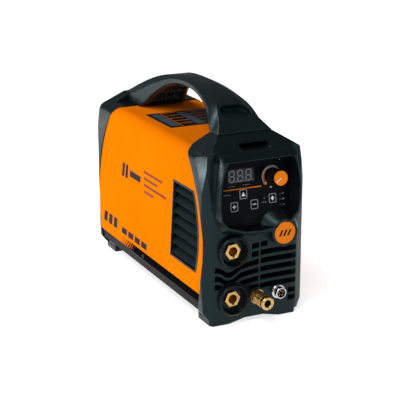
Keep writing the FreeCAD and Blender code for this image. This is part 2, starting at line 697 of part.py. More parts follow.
def plate_body(name, thick, *outlines, holes=()):
    """A flat piece that lies on the tilted plate, its face on the plate's own face."""
    body = new_body(name)
    sketch = new_sketch(body, "XY_Plane")
    for corners in outlines:
        draw(sketch, *corners)
    for u, v, radius in holes:
        draw_circle(sketch, u, v, radius)
    pad(body, sketch, thick, reverse=True)
    return body


def rectangle(u, v, width, height):
    return [("%s - (%s) / 2" % (u, width), "%s - (%s) / 2" % (v, height)),
            ("%s + (%s) / 2" % (u, width), "%s - (%s) / 2" % (v, height)),
            ("%s + (%s) / 2" % (u, width), "%s + (%s) / 2" % (v, height)),
            ("%s - (%s) / 2" % (u, width), "%s + (%s) / 2" % (v, height))]


KEYS = {"key_select": ("-14.3", "28.1"), "key_raise": ("-28.9", "12.4"),
        "key_lower": ("1.5", "12.4"), "key_mode": ("29.6", "17.4")}
LAMPS = [("42", "21.6"), ("42", "14.2"), ("42", "6.8"), ("17.5", "18.8")]


def control_plate():
    openings = [rectangle("display_x", "display_s", "display_width", "display_height")]
    for u, s in KEYS.values():
        openings.append(rectangle(u, s, "key_width + 2 * key_gap", "key_height + 2 * key_gap"))
    outline = symmetric([("plate_width / 2", "plate_height"), ("plate_width / 2", "-4"),
                         ("46", "-11"), ("24", "-16"), ("0", "-17")])
    holes = [(u, s, "1.1") for u, s in LAMPS] + [("dial_x", "dial_s", "4.2")]
    body = plate_body("plate_body", "plate_thick", outline, *openings, holes=holes)
    return keep("control_plate", put(body, on_plate("0", "0"), FACING["plate"]))


def key(label, u, s):
    face = rectangle("0", "0", "key_width", "key_height")
    body = plate_body(label + "_body", "key_deep", face)
    return keep(label, put(body, on_plate(u, s, "key_proud"), FACING["plate"]))


def display_module():
    window = rectangle("0", "0", "display_width - 0.6", "display_height - 0.6")
    body = plate_body("display_body", "7", window)
    at = on_plate("display_x", "display_s", "-0.6")
    return keep("display_module", put(body, at, FACING["plate"]))


def control_board():
    body = plate_body("board_body", "1.6", rectangle("0", "37.5", "96", "60"),
                      holes=[("dial_x", "dial_s", "4")])
    return keep("control_board", put(body, on_plate("0", "0", "-8.2"), FACING["plate"]))


def indicator_lamps():
    lamps = [turned("lamp", [("0", "-6"), ("1", "-6"), ("1", "0"), ("0", "0.4")],
                    on_plate(u, s), "plate") for u, s in LAMPS]
    return keep("indicator_lamps", group("lamp_group", *lamps))


def dial():
    """Turning knob with its orange cap, on the shaft of a potentiometer behind the plate."""
    ribbed = new_body("knob_body")
    sketch = new_sketch(ribbed, "XY_Plane", "dial_clear")
    draw_circle(sketch, "0", "0", "dial_radius - 0.6")
    draw_circle(sketch, "0", "0", "shaft_radius")
    pad(ribbed, sketch, "dial_proud - cap_thick - dial_clear")
    rib = new_sketch(ribbed, "XY_Plane", "dial_clear + 4")
    draw(rib, *rectangle("dial_radius - 0.6", "0", "1.2", "0.9"))
    first = pad(ribbed, rib, "dial_proud - cap_thick - dial_clear - 6")
    pattern = ribbed.newObject("PartDesign::PolarPattern", "knob_ribs")
    pattern.Originals = [first]
    pattern.Axis = (sketch, ["N_Axis"])
    pattern.Angle = 360
    pattern.Occurrences = 24
    ribbed.Tip = pattern
    document.recompute()
    keep("dial_knob", put(ribbed, on_plate("dial_x", "dial_s"), FACING["plate"]))
    cap = turned("cap_body", [("0", "0"), ("dial_radius + 0.25", "0"),
                              ("dial_radius + 0.25", "cap_thick - 0.6"),
                              ("dial_radius - 0.35", "cap_thick"), ("0", "cap_thick")],
                 on_plate("dial_x", "dial_s", "dial_proud - cap_thick"), "plate")
    keep("dial_cap", cap)
    keep("dial_shaft", rod("shaft", "shaft_radius", "dial_proud - cap_thick + 14",
                           on_plate("dial_x", "dial_s", "-14"), "plate"))
    pot = turned("pot", [("shaft_radius + shaft_fit", "-2"), ("3.9", "-2"), ("3.9", "-10.2"),
                         ("8.5", "-10.2"), ("8.5", "-16"), ("0", "-16"), ("0", "-14.1"),
                         ("shaft_radius + shaft_fit", "-14.1")],
                 on_plate("dial_x", "dial_s"), "plate")
    keep("dial_potentiometer", pot)


# ---------------------------------------------------------------- front sockets

def welding_socket(name, height):
    """Twist-lock cable socket: an insulating collar round a brass contact."""
    at = ("socket_x", "face_y", height)
    collar = turned(name + "_ring", [
        ("9.7", "-16"), ("socket_hole", "-16"), ("socket_hole", "0"), ("collar_radius", "0"),
        ("collar_radius", "collar_proud - 1.5"), ("collar_radius - 1.5", "collar_proud"),
        ("collar_radius - 3", "collar_proud"), ("collar_radius - 5", "1"),
        ("collar_radius - 7", "-2.5"), ("9.7", "-2.5")], at, "-Y")
    keep(name + "_collar", collar)
    contact = new_body(name + "_brass")
    hexagon = new_sketch(contact, "XY_Plane", "-2.4")
    reach = "hex_flats / sqrt(3)"
    draw(hexagon, (reach, "0"), (reach + " / 2", "hex_flats / 2"),
         ("-%s / 2" % reach, "hex_flats / 2"), ("-" + reach, "0"),
         ("-%s / 2" % reach, "-hex_flats / 2"), (reach + " / 2", "-hex_flats / 2"))
    pad(contact, hexagon, "3.6")
    tail = new_sketch(contact, "XY_Plane", "-34")
    draw_circle(tail, "0", "0", "9.5")
    pad(contact, tail, "32")
    bore = new_sketch(contact, "XY_Plane", "1.2")
    draw_circle(bore, "0", "0", "contact_bore")
    pocket(contact, bore, "contact_bore_depth")
    # keyway for the plug's locking pin
    keyway = new_sketch(contact, "XY_Plane", "1.2")
    draw(keyway, *rectangle("0", "6.9", "3", "3.2"))
    pocket(contact, keyway, "8")
    turn = FACING["-Y"].multiply(FreeCAD.Rotation(Vector(0, 0, 1), 186))
    keep(name + "_contact", put(contact, at, turn))


def gas_outlet():
    """Quick coupler: a fixed tube with its end collar, and the sprung sleeve round it."""
    at = ("gas_x", "face_y", "gas_z")
    body = turned("outlet_tube", [
        ("gas_bore", "-14"), ("gas_tube", "-14"), ("gas_tube", "-3"), ("gas_tube + 2.5", "-3"),
        ("gas_tube + 2.5", "4"), ("10.5", "4"), ("10.5", "6.5"), ("gas_tube", "6.5"),
        ("gas_tube", "29.5"), ("gas_radius - 0.8", "29.5"), ("gas_radius", "30.4"),
        ("gas_radius", "gas_tip - 1.2"), ("gas_radius - 1.2", "gas_tip"),
        ("gas_bore + 0.8", "gas_tip"), ("gas_bore", "gas_tip - 0.8")], at, "-Y")
    keep("gas_outlet_body", body)
    outline = [("gas_tube + 0.06", "10"), ("gas_radius - 0.9", "10")]
    for index in range(5):
        low = 10.6 + 3.6 * index
        outline += [("gas_radius", str(low)), ("gas_radius", str(low + 2)),
                    ("gas_radius - 0.8", str(low + 2.5))]
        outline.append(("gas_radius - 0.8", str(low + 3.2)))
    outline.append(("gas_tube + 0.06", "28.6"))
    keep("gas_outlet_sleeve", turned("sleeve", outline, at, "-Y"))


def control_socket():
    at = ("plug_x", "face_y", "plug_z")
    keep("control_socket_shell", turned("plug_shell", [
        ("6.4", "-12"), ("plug_thread", "-12"), ("plug_thread", "0"), ("10", "0"),
        ("10", "3.6"), ("9.2", "4.4"), ("plug_thread", "4.4"), ("plug_thread", "11.4"),
        ("plug_thread - 0.6", "12"), ("6.4", "12")], at, "-Y"))
    keep("control_socket_insert", turned("plug_insert", [
        ("0", "-13"), ("6.3", "-13"), ("6.3", "6"), ("0", "6")], at, "-Y"))
    pins = []
    for index in range(5):
        angle = math.radians(90 + 72 * index)
        spot = ("plug_x + %.3f" % (3.4 * math.cos(angle)), "face_y - 6",
                "plug_z + %.3f" % (3.4 * math.sin(angle)))
        pins.append(rod("pin", "0.75", "4.5", spot, "-Y"))
    keep("control_socket_pins", group("pin_group", *pins))


def badge():
    at = ("badge_x", "face_y - badge_proud + 1.4", "badge_z")
    keep("badge_disc", turned("badge", [("0", "0"), ("badge_radius", "0"),
                                        ("badge_radius", "1.2"), ("badge_radius - 0.4", "1.6"),
                                        ("0", "1.6")], at, "-Y"))


# ---------------------------------------------------------------- rear services

def cooling_fan():
    """Axial fan just inside the rear panel, and the wire guard outside it."""
    size, deep = "fan_size", "fan_deep"
    front = "rear_y - wall - 0.5 - fan_deep"
    frame = new_body("fan_body")
    sketch = new_sketch(frame, "XZ_Plane", "-(%s)" % front)
    draw(sketch, *rectangle("fan_x", "fan_z", size, size))
    draw_circle(sketch, "fan_x", "fan_z", "fan_radius + 1")
    pad(frame, sketch, deep, reverse=True)
    hub = rod("fan_hub", "15", "6", ("fan_x", front, "fan_z"), "+Y")
    spokes = []
    for index in range(4):
        turn = FreeCAD.Rotation(Vector(0, 1, 0), 45 + 90 * index)
        spokes.append(box("spoke", ("fan_radius + 2", "2", "4"), ("fan_x", front, "fan_z"), turn))
    stud = rod("fan_stud", "2", "18", ("fan_x", front, "fan_z"), "+Y")
    keep("fan_frame", fuse("fan_fixed", frame, hub, stud, *spokes))
    back = "rear_y - wall - 0.5 - 3"
    boss = rod("rotor_hub", "17", "15.5", ("fan_x", "%s - 15.5" % back, "fan_z"), "+Y")
    core = rod("rotor_core", "2.05", "15", ("fan_x", "%s - 15.6" % back, "fan_z"), "+Y")
    blades = []
    for index in range(7):
        turn = FreeCAD.Rotation(Vector(0, 1, 0), 360.0 / 7 * index).multiply(
            FreeCAD.Rotation(Vector(1, 0, 0), 48))
        corner = turn.multVec(Vector(10, -0.8, -6.5))
        blades.append(box("rotor_blade", ("fan_radius - 13", "1.6", "13"),
                          ("fan_x + (%.3f)" % corner.x, "%s - 7.75 + (%.3f)" % (back, corner.y),
                           "fan_z + (%.3f)" % corner.z), turn))
    keep("fan_rotor", cut("rotor", fuse("rotor_solid", boss, *blades), core))
    rings = []
    for radius in (14, 22, 30, 38):
        ring = document.addObject("Part::Torus", "guard_ring")
        ring.Radius1 = radius
        ring.Radius2 = 1.1
        rings.append(put(ring, ("fan_x", "rear_y + 1.2", "fan_z"), FACING["+Y"]))
    bars = []
    for index in range(4):
        angle = math.radians(45 + 90 * index)
        turn = FreeCAD.Rotation(Vector(0, 1, 0), -math.degrees(angle))
        bars.append(box("guard_bar", ("62", "2", "2"), ("fan_x", "rear_y + 0.2", "fan_z"), turn))
    keep("fan_guard", fuse("guard", *(rings + bars)))


def power_switch():
    """Rocker mains switch, drawn switched off: its lower end stands out."""
    lip = box("switch_lip", ("32", "3", "26"),
              ("switch_x - 16", "service_y + 0.2", "switch_z - 13"))
    block = box("switch_block", ("27", "32", "21"),
                ("switch_x - 13.5", "service_y - 31", "switch_z - 10.5"))
    well = box("switch_well", ("21", "30", "15"),
               ("switch_x - 10.5", "service_y - 12", "switch_z - 7.5"))
    bearing = rod("switch_bearing", "1.7", "24", ("switch_x - 12", "service_y - 0.4", "switch_z"),
                  "+X")
    keep("power_switch_body", cut("switch", fuse("switch_solid", lip, block), well, bearing))
    rocker = new_body("rocker_body")
    sketch = draw(new_sketch(rocker, "YZ_Plane"), ("5.2", "-6.6"), ("3.6", "0"), ("5.2", "6.6"),
                  ("-3", "5"), ("-3", "-5"))
    pad(rocker, sketch, "20", both=True)
    pivot = new_sketch(rocker, "YZ_Plane")
    draw_circle(pivot, "0", "0", "1.6")
    pad(rocker, pivot, "23", both=True)
    tilt = FreeCAD.Rotation(Vector(1, 0, 0), 8)
    keep("power_rocker", put(rocker, ("switch_x", "service_y - 0.4", "switch_z"), tilt))


def rear_fittings():
    keep("cable_gland", turned("gland", [
        ("4.6", "-14"), ("10", "-14"), ("10", "-0.5"), ("14", "-0.5"), ("14", "5"), ("11", "7"),
        ("11", "14"), ("8", "18"), ("4.6", "18")],
        ("gland_x", "service_y + 0.7", "gland_z"), "+Y"))
    keep("gas_inlet_barb", turned("barb", [
        ("2.5", "-18"), ("6", "-18"), ("6", "0"), ("9", "0"), ("9", "6"), ("4.2", "6"),
        ("4.2", "11"), ("5", "11"), ("4", "15"), ("5", "15"), ("4", "19"), ("5", "19"),
        ("3.6", "barb_reach"), ("2.5", "barb_reach")],
        ("inlet_x", "rear_y", "inlet_z"), "+Y"))


# ---------------------------------------------------------------- power electronics inside

def gas_line():
    """Solenoid valve behind the inlet, and the hose from it to the front outlet."""
    block = box("valve_block", ("22", "26", "20"), ("inlet_x - 11", "156", "inlet_z - 10"))
    coil = rod("valve_coil", "12", "26", ("inlet_x", "169", "inlet_z + 10"))
    keep("gas_valve", fuse("valve", block, coil))
    start = Vector(number("inlet_x"), 155.9, number("inlet_z"))
    end = Vector(number("gas_x"), number("face_y") + 14.1, number("gas_z"))
    turns = [start, start - Vector(0, 16, 0), Vector(66, 110, 33), Vector(66, 20, 28),
             Vector(66, -96, 28), Vector(12, -140, 34), end + Vector(0, 16, 0), end]
    edges, here = [], turns[0]
    for index in range(1, len(turns) - 1):
        before = turns[index - 1] - turns[index]
        after = turns[index + 1] - turns[index]
        reach = 0.42 * min(before.Length, after.Length)
        first = turns[index] + before.normalize() * reach
        last = turns[index] + after.normalize() * reach
        half = math.acos(max(-1, min(1, before.dot(after)))) / 2
        inward = (before + after).normalize()
        middle = turns[index] + inward * (reach / math.cos(half) - reach * math.tan(half))
        edges.append(Part.makeLine(here, first))
        edges.append(Part.Arc(first, middle, last).toShape())
        here = last
    edges.append(Part.makeLine(here, end))
    path = Part.Wire(edges)
    direction = (turns[1] - start).normalize()
    section = Part.Wire(Part.makeCircle(3.2, start, direction))
    keep("gas_hose", computed("hose", path.makePipeShell([section], True, True)))


def power_stage():
    """The power electronics on the tray, cooled by the fan's air."""
    fins = [box("sink_base", ("90", "170", "8"), ("-60", "-60", "47"))]
    for index in range(9):
        fins.append(box("fin", ("2.4", "170", "26.5"),
                        ("-60 + %.2f" % (index * 10.95), "-60", "tray_bottom + 1.8")))
    keep("heat_sink", fuse("sink", *fins))
    board = [box("board", ("104", "190", "1.8"), ("-62", "-66", "77"))]
    for x in (-56, 26):
        for y in (-56, 106):
            board.append(rod("standoff", "3", "22", (str(x), str(y), "55.2")))
    keep("power_board", fuse("board_group", *board))
    transistors = [box("transistor", ("16", "5", "20"),
                       (str(-46 + 22 * (index % 4)), str(-40 + 60 * (index // 4)), "55.2"))
                   for index in range(8)]
    keep("power_transistors", group("transistor_group", *transistors))
    cans = [rod("can", "15", "45", (str(x), str(y), "79"))
            for x, y in ((-42, 70), (-8, 70), (-42, 104), (-8, 104))]
    keep("bus_capacitors", group("can_group", *cans))
    window = [box("core_window", ("12", "54", "34"), (x, "-53", "91")) for x in ("-40", "-8")]
    core = cut("core_cut", box("core_block", ("64", "52", "58"), ("-50", "-52", "79")), *window)
    keep("transformer_core", core)
    turns = box("coil_block", ("39.6", "60", "33"), ("-39.8", "-56", "91.5"))
    leg = box("coil_leg", ("20.4", "52.6", "34"), ("-28.2", "-52.3", "91"))
    keep("transformer_winding", cut("coil_cut", turns, leg))
    choke = document.addObject("Part::Torus", "choke_ring")
    choke.Radius1 = 19.5
    choke.Radius2 = 8.5
    keep("output_choke", put(choke, ("45", "-60", "48.7"), FACING["+X"]))
    keep("rectifier_bridge", box("bridge", ("26", "30", "10"), ("33", "20", "tray_bottom + 1.8")))
    keep("start_coil", turned("hf_coil", [("7", "0"), ("15", "0"), ("15", "30"), ("7", "30")],
                              ("47", "-164", "tray_bottom + tray_steel + 15.1"), "+Y"))
    bars = [box("busbar", ("24", "3", "18"), ("socket_x - 12", "face_y + 34.2", height + " - 9"))
            for height in ("socket_high", "socket_low")]
    keep("socket_busbars", group("busbar_group", *bars))


def outer_trim():
    keep("top_label", box("label", ("100", "90", "0.4"), ("-50", "-23", "cover_top + 0.02")))
    screws = []
    for x, facing in (("-cover_width / 2 - 1.1", "+X"), ("cover_width / 2 + 1.1", "-X")):
        screws.append(rod("screw", "3.2", "1", (x, "22", "38"), facing))
    keep("cover_screws", group("screw_group", *screws))
    corner = []
    for x in ("-66", "66"):
        for z in ("24", "112"):
            corner.append(rod("panel_screw", "3.5", "1.2", (x, "rear_y + 0.05", z), "+Y"))
    keep("panel_screws", group("panel_screw_group", *corner))


front_panel()
foot("front_foot", "foot_y", "foot_y + 39", "foot_y")
rear_panel()
foot("rear_foot", "rear_y - 43", "rear_y - 4", "rear_y - 4")
cover_shell()
base_tray()
carry_handle()
louvre("left_louvre", -1)
louvre("right_louvre", 1)
control_plate()
for key_name, (key_u, key_s) in KEYS.items():
    key(key_name, key_u, key_s)
display_module()
control_board()
indicator_lamps()
dial()
welding_socket("upper_socket", "socket_high")
welding_socket("lower_socket", "socket_low")
gas_outlet()
control_socket()
badge()
cooling_fan()
power_switch()
rear_fittings()
gas_line()
power_stage()
outer_trim()
document.recompute()

failed = [each.Name for each in document.Objects
          if "Invalid" in each.State or "Error" in each.State]
if failed:
    raise RuntimeError("features failed: " + ", ".join(failed))
os.makedirs("parts", exist_ok=True)
for node in NODES:
    shape = node.Shape
    if shape.isNull() or not shape.isValid() or shape.Volume <= 0:
        raise RuntimeError("bad shape: " + node.Label)
    shape.exportStep("parts/%s.step" % node.Label)
    bounds = shape.BoundBox
    print("%-24s x %7.1f %7.1f  y %7.1f %7.1f  z %6.1f %6.1f  solids %d" % (
        node.Label, bounds.XMin, bounds.XMax, bounds.YMin, bounds.YMax, bounds.ZMin,
        bounds.ZMax, len(shape.Solids)))
print(len(NODES), "nodes")
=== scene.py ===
import bpy
import bmesh
import json
import math
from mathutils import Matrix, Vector


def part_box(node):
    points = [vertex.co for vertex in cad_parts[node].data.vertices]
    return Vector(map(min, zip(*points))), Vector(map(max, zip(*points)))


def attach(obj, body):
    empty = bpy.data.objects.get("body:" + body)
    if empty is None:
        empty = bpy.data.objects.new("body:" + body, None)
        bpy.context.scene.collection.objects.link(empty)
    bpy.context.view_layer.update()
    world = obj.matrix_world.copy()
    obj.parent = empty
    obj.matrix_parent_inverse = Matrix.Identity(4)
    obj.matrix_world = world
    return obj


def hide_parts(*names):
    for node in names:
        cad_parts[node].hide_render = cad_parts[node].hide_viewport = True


# Looks of a portable TIG welder: powder-coated cover, textured dark mouldings, printed control
# film, brass and chrome sockets. Every place comes from the frame, or is given in millimetres
# on the frame's axes.

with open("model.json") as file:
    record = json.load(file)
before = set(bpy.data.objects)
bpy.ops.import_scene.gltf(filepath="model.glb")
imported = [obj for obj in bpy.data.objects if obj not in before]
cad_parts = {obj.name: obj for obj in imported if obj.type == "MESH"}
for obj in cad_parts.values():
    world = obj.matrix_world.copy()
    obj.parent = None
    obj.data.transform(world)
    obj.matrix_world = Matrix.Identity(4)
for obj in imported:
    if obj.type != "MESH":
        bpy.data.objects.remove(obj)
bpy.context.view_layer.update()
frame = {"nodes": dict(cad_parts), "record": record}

MM = 0.001
PLATE_TILT = math.radians(8)
PLATE_FOOT = Vector((0, -180, 152))        # the point on the control plate's face that
                                           # places on it are measured from
COVER_TOP = 241
COVER_SIDE = 76                            # from the middle to either side of the cover
FACE = -189                                # the flat front below the control recess

MATERIALS = {}


def add(name, data):
    """A new object in the scene."""
    thing = bpy.data.objects.new(name, data)
    bpy.context.scene.collection.objects.link(thing)
    return thing


# ---------------------------------------------------------------- node helpers

class Shader:
    """A new node material with one Principled surface and short helpers."""

    def __init__(self, name, colour, roughness, metallic=0.0):
        material = bpy.data.materials.new(name)
        material.use_nodes = True
        self.tree = material.node_tree
        self.surface = self.tree.nodes["Principled BSDF"]
        self.set("Base Color", (*colour, 1))
        self.set("Roughness", roughness)
        self.set("Metallic", metallic)
        self.place = self.node("ShaderNodeTexCoord").outputs["Object"]
        MATERIALS[name] = material

    def node(self, kind, **values):
        made = self.tree.nodes.new(kind)
        for key, value in values.items():
            setattr(made, key, value)
        return made

    def set(self, socket, value):
        self.surface.inputs[socket].default_value = value

    def link(self, output, socket):
        self.tree.links.new(output, socket)

    def noise(self, scale, detail=2.0, roughness=0.5, stretch=(1, 1, 1)):
        """Noise with about the given number of features to a metre."""
        mapping = self.node("ShaderNodeMapping")
        mapping.inputs["Scale"].default_value = stretch
        self.link(self.place, mapping.inputs["Vector"])
        made = self.node("ShaderNodeTexNoise")
        made.inputs["Scale"].default_value = scale
        made.inputs["Detail"].default_value = detail
        made.inputs["Roughness"].default_value = roughness
        self.link(mapping.outputs[0], made.inputs["Vector"])
        return made.outputs["Fac"]

    def math(self, operation, first, second=0.0):
        made = self.node("ShaderNodeMath", operation=operation)
        for socket, value in zip(made.inputs, (first, second)):
            if isinstance(value, (int, float)):
                socket.default_value = value
            else:
                self.link(value, socket)
        return made.outputs[0]

    def ramp(self, value, low, high, start=0.35, end=0.65):
        """Map a value between start and end on to a range."""
        made = self.node("ShaderNodeMapRange")
        for key, each in (("From Min", start), ("From Max", end), ("To Min", low),
                          ("To Max", high)):
            made.inputs[key].default_value = each
        self.link(value, made.inputs["Value"])
        return made.outputs[0]

    def mix(self, factor, first, second):
        made = self.node("ShaderNodeMix", data_type="RGBA")
        self.link(factor, made.inputs["Factor"])
        for socket, value in ((made.inputs[6], first), (made.inputs[7], second)):
            if isinstance(value, tuple):
                socket.default_value = (*value, 1)
            else:
                self.link(value, socket)
        return made.outputs[2]

    def vary(self, colour, amount, scale):
        """Slow drift of the base colour."""
        dark = tuple(each * (1 - amount) for each in colour)
        light = tuple(min(1, each * (1 + amount)) for each in colour)
        drift = self.mix(self.ramp(self.noise(scale, 3), 0, 1), dark, light)
        self.link(drift, self.surface.inputs["Base Color"])
        return drift

    def bump(self, height, distance, strength, edge=0.0):
        """Surface relief in metres, over edges softened by an edge radius in metres."""
        made = self.node("ShaderNodeBump")
        made.inputs["Strength"].default_value = strength
        made.inputs["Distance"].default_value = distance
        self.link(height, made.inputs["Height"])
        if edge:
            soft = self.node("ShaderNodeBevel", samples=6)
            soft.inputs["Radius"].default_value = edge
            self.link(soft.outputs[0], made.inputs["Normal"])
        self.link(made.outputs[0], self.surface.inputs["Normal"])

    def separate(self):
        """The place on the object, as x, y and z."""
        made = self.node("ShaderNodeSeparateXYZ")
        self.link(self.place, made.inputs[0])
        return made.outputs


def moulded(name, colour, roughness, grain=1400, depth=0.00004, edge=0.0006,
            specular=0.2):
    """Textured moulded plastic: spark-eroded grain, a slow drift in colour and gloss."""
    shader = Shader(name, colour, roughness)
    shader.vary(colour, 0.10, 9)
    gloss = shader.ramp(shader.noise(26, 4), roughness - 0.05, roughness + 0.07)
    shader.link(gloss, shader.surface.inputs["Roughness"])
    shader.set("Specular IOR Level", specular)
    shader.set("Specular Tint", (0.62, 0.94, 1.0, 1.0))
    shader.bump(shader.noise(grain, 2, 0.6), depth, 0.7, edge)


def metal(name, colour, roughness, stretch=(1, 1, 1)):
    """Machined or plated metal with fine tool marks and slight tarnish."""
    shader = Shader(name, colour, roughness, 1.0)
    tarnish = tuple(each * 0.72 for each in colour)
    shader.link(shader.mix(shader.ramp(shader.noise(60, 5), 0, 1, 0.42, 0.75), colour, tarnish),
                shader.surface.inputs["Base Color"])
    gloss = shader.ramp(shader.noise(180, 3), roughness - 0.06, roughness + 0.12)
    shader.link(gloss, shader.surface.inputs["Roughness"])
    shader.bump(shader.noise(900, 2, 0.5, stretch), 0.000004, 0.6, 0.0003)


def powder_coat():
    """Orange powder coat; a black printed band runs along the foot of both sides and ends in
    slanting bars."""
    colour = (0.84, 0.185, 0.0008)
    band_top, bar_pitch = 44.5 * MM, 7.5 * MM
    bars_start, bars_end = 96 * MM, 150 * MM
    shader = Shader("orange_powder_coat", colour, 0.33)
    drift = shader.vary(colour, 0.05, 5)
    y, z = shader.separate()[1:3]
    band = shader.math("LESS_THAN", z, band_top)
    lean = shader.math("ADD", y, z)
    bars = shader.math("FRACT", shader.math("MULTIPLY", lean, 1 / bar_pitch))
    reach = shader.ramp(lean, 1.0, 0.0, bars_start, bars_end)
    printed = shader.math("LESS_THAN", bars, reach)
    mask = shader.math("MULTIPLY", band, printed)
    shader.link(shader.mix(mask, drift, (0.004, 0.004, 0.005)),
                shader.surface.inputs["Base Color"])
    gloss = shader.ramp(shader.noise(40, 3), 0.28, 0.38)
    shader.link(gloss, shader.surface.inputs["Roughness"])
    shader.set("Specular IOR Level", 0.0)
    shader.bump(shader.noise(700, 2, 0.5), 0.00003, 0.5, 0.0006)


def plain(name, colour, roughness, grain=900, depth=0.00002, emission=0.0, specular=0.06):
    """Printed ink, film, rubber or lacquer with a fine surface."""
    shader = Shader(name, colour, roughness)
    shader.vary(colour, 0.06, 30)
    gloss = shader.ramp(shader.noise(70, 3), roughness - 0.04, roughness + 0.06)
    shader.link(gloss, shader.surface.inputs["Roughness"])
    shader.set("Specular IOR Level", specular)
    if emission:
        shader.set("Emission Color", (*colour, 1))
        shader.set("Emission Strength", emission)
    shader.bump(shader.noise(grain, 2), depth, 0.5)


def windings(name, colour):
    """Enamelled copper: close turns shown as ridges."""
    shader = Shader(name, colour, 0.3, 0.6)
    shader.vary(colour, 0.2, 60)
    wave = shader.node("ShaderNodeTexWave", wave_type="BANDS")
    wave.inputs["Scale"].default_value = 160
    shader.link(shader.place, wave.inputs["Vector"])
    shader.bump(wave.outputs["Fac"], 0.0004, 0.8)


moulded("front_moulding", (0.0030, 0.0070, 0.0084), 0.29, edge=0.0016, specular=0.24)
# Painted shade: darker than front_moulding, for the walls inside the control recess; also
# glossier.
moulded("recess_shade_moulding", (0.0035, 0.0048, 0.0058), 0.24, depth=0.00001, edge=0.0012,
        specular=0.35)
moulded("handle_moulding", (0.0048, 0.0100, 0.0118), 0.32, edge=0.0022, specular=0.34)
moulded("louvre_moulding", (0.0075, 0.0135, 0.0155), 0.36, specular=0.12)
moulded("black_moulding", (0.0045, 0.0055, 0.0065), 0.30, grain=1100)
moulded("knob_moulding", (0.0050, 0.0056, 0.0062), 0.38, edge=0.0002)
powder_coat()
moulded("tray_coat", (0.0030, 0.0034, 0.0038), 0.36, grain=700, specular=0.05)
plain("control_film", (0.0022, 0.0036, 0.0044), 0.34)
plain("key_rubber", (0.0036, 0.0046, 0.0056), 0.50, 1400)
plain("display_lens", (0.0075, 0.0095, 0.0110), 0.16, specular=0.3)
plain("display_digit", (0.19, 0.22, 0.225), 0.45)
plain("white_ink", (0.74, 0.79, 0.81), 0.45)
plain("grey_ink", (0.10, 0.115, 0.125), 0.45)
plain("silver_ink", (0.36, 0.39, 0.41), 0.40)
plain("orange_ink", (0.72, 0.17, 0.003), 0.45)
plain("black_ink", (0.004, 0.004, 0.005), 0.45)
plain("rust_ink", (0.26, 0.042, 0.002), 0.45)
plain("label_black", (0.006, 0.008, 0.010), 0.38)
plain("label_blue_grey", (0.060, 0.090, 0.120), 0.42)
plain("lamp_lens", (0.10, 0.11, 0.115), 0.2, specular=0.5)
# Near-black for sheets that stand in for the shade inside the case, seen through the vents and
# louvres.
plain("painted_shade_black", (0.0015, 0.0016, 0.0018), 0.9)
plain("black_steel", (0.006, 0.006, 0.007), 0.35)
moulded("orange_plastic", (0.80, 0.20, 0.002), 0.30, grain=500, depth=0.00001, specular=0.1)
metal("brass", (0.62, 0.38, 0.12), 0.26)
metal("gilt_brass", (0.66, 0.42, 0.15), 0.22, (1, 6, 1))
metal("chrome", (0.70, 0.71, 0.73), 0.14)
metal("zinc_steel", (0.50, 0.51, 0.53), 0.3)
metal("aluminium", (0.66, 0.67, 0.68), 0.35, (1, 0.1, 1))
plain("solder_mask", (0.008, 0.060, 0.022), 0.35)
plain("ferrite", (0.030, 0.030, 0.033), 0.6)
windings("copper_winding", (0.42, 0.15, 0.045))
plain("can_sleeve", (0.012, 0.014, 0.030), 0.25)
plain("hose_rubber", (0.012, 0.030, 0.090), 0.4)

NODE_MATERIALS = {
    "front_panel": "front_moulding", "front_foot": "front_moulding",
    "rear_panel": "front_moulding", "rear_foot": "front_moulding",
    "cover_shell": "orange_powder_coat", "base_tray": "tray_coat",
    "carry_handle": "handle_moulding", "left_louvre": "louvre_moulding",
    "right_louvre": "louvre_moulding", "control_plate": "control_film",
    "display_module": "display_lens", "control_board": "solder_mask",
    "indicator_lamps": "lamp_lens", "dial_knob": "knob_moulding", "dial_cap": "orange_plastic",
    "dial_shaft": "zinc_steel", "dial_potentiometer": "zinc_steel",
    "upper_socket_collar": "black_moulding", "upper_socket_contact": "brass",
    "lower_socket_collar": "black_moulding", "lower_socket_contact": "brass",
    "gas_outlet_body": "gilt_brass", "gas_outlet_sleeve": "gilt_brass",
    "control_socket_shell": "chrome", "control_socket_insert": "black_moulding",
    "control_socket_pins": "gilt_brass", "badge_disc": "orange_plastic",
    "fan_frame": "black_moulding", "fan_rotor": "black_moulding", "fan_guard": "chrome",
    "power_switch_body": "black_moulding", "power_rocker": "orange_plastic",
    "cable_gland": "black_moulding", "gas_inlet_barb": "brass", "gas_valve": "zinc_steel",
    "gas_hose": "hose_rubber", "heat_sink": "aluminium", "power_board": "solder_mask",
    "power_transistors": "black_moulding", "bus_capacitors": "can_sleeve",
    "transformer_core": "ferrite", "transformer_winding": "copper_winding",
    "output_choke": "copper_winding", "rectifier_bridge": "black_moulding",
    "start_coil": "copper_winding", "socket_busbars": "copper_winding",
    "top_label": "label_black", "cover_screws": "black_steel", "panel_screws": "zinc_steel",
    "key_select": "key_rubber", "key_raise": "key_rubber", "key_lower": "key_rubber",
    "key_mode": "key_rubber",
}


def body_of(node):
    bodies = frame["record"]["behaviour"]["bodies"]
    return next(body for body, members in bodies.items() if node in members)


def dress(thing, material):
    thing.data.materials.clear()
    thing.data.materials.append(MATERIALS[material])


def smooth(thing):
    """Smooth shading, broken at edges sharper than 32 degrees."""
    mesh = thing.data
    mesh.polygons.foreach_set("use_smooth", [True] * len(mesh.polygons))
    mesh.set_sharp_from_angle(angle=math.radians(32))


